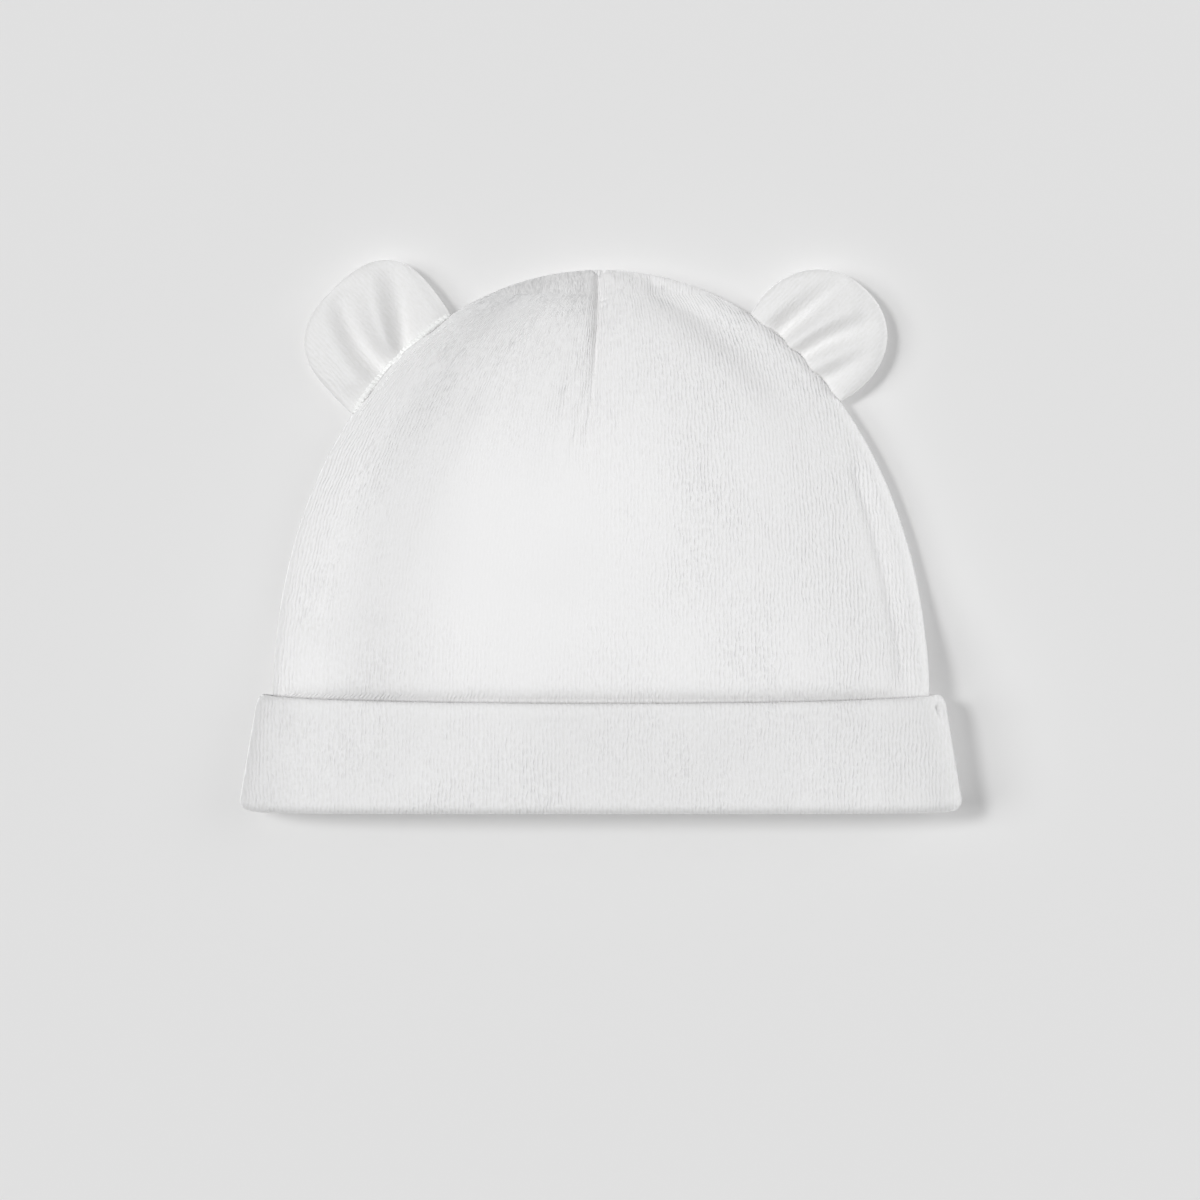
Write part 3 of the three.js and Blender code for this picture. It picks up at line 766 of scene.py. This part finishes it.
def make_ear(ear, materials, crown_tree):
    """A padded ear, its root closed along the crown's surface, and a tree of its surface."""
    turns = column_turns(EAR_TOP_COLUMNS, EAR_BACK_COLUMNS)
    full_height = EAR_HEIGHT * ear.height
    root_reaches = np.linspace(0, 1, EAR_ROOT_ROWS + 1)
    root_heights = [seat_heights(ear, turns, reach, crown_tree) for reach in root_reaches]
    share = np.sin(np.linspace(0, 1, EAR_ROWS + 1)[1:-1] * np.pi / 2)
    upper_heights = mix(root_heights[-1][None, :], full_height, share[:, None])
    height = np.concatenate([root_heights[1:], upper_heights])
    reach = np.concatenate([root_reaches[1:], np.ones(len(share))])[:, None]
    rings = ear_points(ear, np.broadcast_to(turns, height.shape), height, reach)
    middle, along, outward = ear_frame(ear)
    root = ear_points(ear, turns[:1], root_heights[0][:1], 0)[0]
    tip = middle + outward * full_height + along * (EAR_WIDTH * ear.width / 2 * ear.lean)
    across = closed_columns((rings - middle) @ along)
    places = np.stack([across, closed_columns(height)], axis=-1)
    surface = ring_surface(rings, places, root, tip)
    piece = make_piece(f"{ear.name}_velour", [surface], ear.name, materials)
    return piece, surface_tree(surface)


def evened(values):
    """Values along a line, evened out as a soft strip evens out what it lies on."""
    window = np.hanning(STRIP_EVENING)
    padded = np.pad(values, ((STRIP_EVENING // 2, STRIP_EVENING // 2), (0, 0)), mode="edge")
    columns = [np.convolve(column, window / window.sum(), mode="valid") for column in padded.T]
    return np.stack(columns, axis=1)


def seam_line(ear, trees, inset):
    """Points and upward directions along an ear's seam, an inset inside the crown's outline.

    trees holds the crown's surface and, where the line also lies on the ear, the ear's."""
    HIGH = 60
    SEARCH_STEPS = 20
    middle, along, outward = ear_frame(ear)
    half = EAR_WIDTH * ear.width * ear.base / 2

    def surfaces_below(across, height):
        start = Vector(middle + along * across + outward * height)
        start.z = HIGH
        found = [tree.ray_cast(start, Vector((0, 0, -1)))[:2] for tree in trees]
        return [hit if hit[0] is not None else None for hit in found]

    points, normals = [], []
    for across in np.linspace(-half, half, STRIP_STEPS):
        beyond, within = EAR_HEIGHT / 2, -EAR_HEIGHT / 2
        for _ in range(SEARCH_STEPS):
            height = (beyond + within) / 2
            if surfaces_below(across, height)[0] is None:
                beyond = height
            else:
                within = height
        hits = [hit for hit in surfaces_below(across, within - inset) if hit]
        if hits:
            point, normal = max(hits, key=lambda hit: hit[0].z)
            points.append(point)
            normals.append(normal)
    normals = evened(np.array(normals))
    return evened(np.array(points)), normals / np.linalg.norm(normals, axis=1, keepdims=True)


def tube_surface(points, normals, half_width, half_height, sink, twist=0):
    """A rope-like strip that lies on a surface, with its ends drawn in."""
    TWIST_DEPTH = 0.16
    END_ROUNDNESS = 6
    runs = np.gradient(points, axis=0)
    runs /= np.linalg.norm(runs, axis=1, keepdims=True)
    sides = np.cross(runs, normals)
    arc = np.concatenate([[0], np.cumsum(np.linalg.norm(np.diff(points, axis=0), axis=1))])
    angle = np.linspace(0, 2 * np.pi, STRIP_SIDES, endpoint=False)[None, :]
    strand = 1 + TWIST_DEPTH * np.sin(2 * np.pi * arc[:, None] / twist + angle) if twist else 1
    ends = rounded(np.linspace(-1, 1, len(points)), END_ROUNDNESS)[:, None]
    wide = half_width * np.cos(angle) * strand * ends
    high = half_height * np.sin(angle) * strand * ends - sink
    rings = points[:, None] + sides[:, None] * wide[..., None] + normals[:, None] * high[..., None]
    cloth = np.stack(np.broadcast_arrays(closed_columns(angle) * half_width, arc[:, None]), axis=-1)
    return ring_surface(rings[1:-1], cloth[1:-1], rings[0, 0], rings[-1, 0])


def make_strip(ear, material, trees):
    """The raised seam strip between the crown and an ear."""
    points, normals = seam_line(ear, trees, STRIP_INSET)
    surface = tube_surface(points, normals, STRIP_HALF_WIDTH, STRIP_HALF_HEIGHT, STRIP_SINK, STRIP_TWIST)
    return make_piece(f"{ear.name}_seam_strip", [surface], None, [material])


def make_stitches(ear, material, crown_tree):
    """The row of stitches beside the seam strip, as one piece of short threads."""
    THREAD_STEPS = 9
    BOW_ROUNDNESS = 2
    points, normals = seam_line(ear, [crown_tree], STITCH_INSET)
    arc = np.concatenate([[0], np.cumsum(np.linalg.norm(np.diff(points, axis=0), axis=1))])
    threads = []
    for start in np.arange(STITCH_GAP, arc[-1] - STITCH_LENGTH, STITCH_LENGTH + STITCH_GAP):
        along = np.linspace(start, start + STITCH_LENGTH, THREAD_STEPS)
        place = np.stack([np.interp(along, arc, points[:, axis]) for axis in range(3)], axis=1)
        up = np.stack([np.interp(along, arc, normals[:, axis]) for axis in range(3)], axis=1)
        bow = rounded(np.linspace(-1, 1, THREAD_STEPS), BOW_ROUNDNESS)[:, None]
        place = place + up * (bow * STITCH_RADIUS)
        threads.append(tube_surface(place, up, STITCH_RADIUS, STITCH_RADIUS, STITCH_RADIUS / 2))
    return make_piece(f"{ear.name}_stitches", threads, None, [material])


def sun(lamp, receivers, color):
    """A soft sun that lights one collection."""
    data = bpy.data.lights.new(lamp.name, "SUN")
    data.energy = lamp.strength
    data.angle = math.radians(lamp.angle)
    data.color = color
    light = bpy.data.objects.new(lamp.name, data)
    bpy.context.scene.collection.objects.link(light)
    azimuth, elevation = math.radians(lamp.azimuth), math.radians(lamp.elevation)
    level = math.cos(elevation)
    origin = Vector((math.cos(azimuth) * level, math.sin(azimuth) * level, math.sin(elevation)))
    light.rotation_euler = origin.to_track_quat("Z", "Y").to_euler()
    light.location = origin
    light.light_linking.receiver_collection = receivers
    return light


def make_floor():
    """The plain pale floor, in metres."""
    mesh = bpy.data.meshes.new("floor")
    side = FLOOR_HALF_SIDE
    corners = [(-side, -side, 0), (side, -side, 0), (side, side, 0), (-side, side, 0)]
    mesh.from_pydata(corners, [], [(0, 1, 2, 3)])
    floor = bpy.data.objects.new("floor", mesh)
    bpy.context.scene.collection.objects.link(floor)
    mesh.materials.append(plain_material("pale_floor", (FLOOR_TONE, FLOOR_TONE, FLOOR_TONE), 1))
    return floor


def light_group(name, members):
    """A collection that only lamps use, so that each lamp lights the hat or the floor alone."""
    group = bpy.data.collections.new(name)
    for member in members:
        group.objects.link(member)
    return group


def make_stage(hat_pieces):
    """The floor, the sky and the lamps.

    The rim lamp shines from below the floor, and only the hat blocks it."""
    floor = make_floor()
    hat_group = light_group("lit_hat", hat_pieces)
    floor_group = light_group("lit_floor", [floor])
    world = bpy.data.worlds.new("studio")
    world.use_nodes = True
    world.node_tree.nodes["Background"].inputs["Color"].default_value = (1, 1, 1, 1)
    world.node_tree.nodes["Background"].inputs["Strength"].default_value = SKY_STRENGTH
    bpy.context.scene.world = world
    for lamp in HAT_LAMPS:
        sun(lamp, hat_group, HAT_LIGHT)
    sun(RIM_LAMP, hat_group, HAT_LIGHT).light_linking.blocker_collection = hat_group
    for lamp in FLOOR_LAMPS:
        sun(lamp, floor_group, FLOOR_LIGHT)
    sun(SHADOWLESS_LAMP, floor_group, FLOOR_LIGHT).data.use_shadow = False


def make_camera():
    data = bpy.data.cameras.new("camera")
    data.sensor_width = SENSOR_WIDTH
    data.lens = SENSOR_WIDTH * (CAMERA_HEIGHT - OUTLINE_HEIGHT) / FRAME_WIDTH
    data.clip_start = 0.01
    camera = bpy.data.objects.new("camera", data)
    bpy.context.scene.collection.objects.link(camera)
    camera.location = Vector((FRAME_MIDDLE[0], MOUTH_Y + FRAME_MIDDLE[1], CAMERA_HEIGHT)) * MM
    bpy.context.scene.camera = camera


# The cuff's nap in patches, with painted shade on its right and top and more at its left end
cuff_tones = Tones(patches=0.945, right_top=0.985, left_end=0.9)
# The crown's velour has painted shade in the left side fold
velour = velour_material("white_velour", (0.887, 0.876, 0.876), 0.34, 0.28, Tones(side_fold=0.935))
# The ears' and the cuff's velour are darker copies of the crown's: painted shade
ear_velour = velour_material("ear_velour", (0.846, 0.836, 0.832), 0.16, 0.16, Tones(patches=0.95))
cuff_velour = velour_material("cuff_velour", (0.85, 0.84, 0.84), 0.34, 0.28, cuff_tones)
inside_cloth = velour_material("velour_inside", (0.84, 0.84, 0.82), 0.5, 0.08)
thread = thread_material("white_thread", (0.88, 0.88, 0.87))

crown, crown_tree = make_crown([velour, inside_cloth])
cuff = make_cuff([cuff_velour])
ears, ear_trees = zip(*[make_ear(ear, [ear_velour], crown_tree) for ear in EARS])
strip = make_strip(EARS[0], thread, [crown_tree, ear_trees[0]])
stitches = make_stitches(EARS[0], thread, crown_tree)

make_stage([crown, cuff, *ears, strip, stitches])
make_camera()
bpy.context.scene.view_settings.view_transform = "Standard"
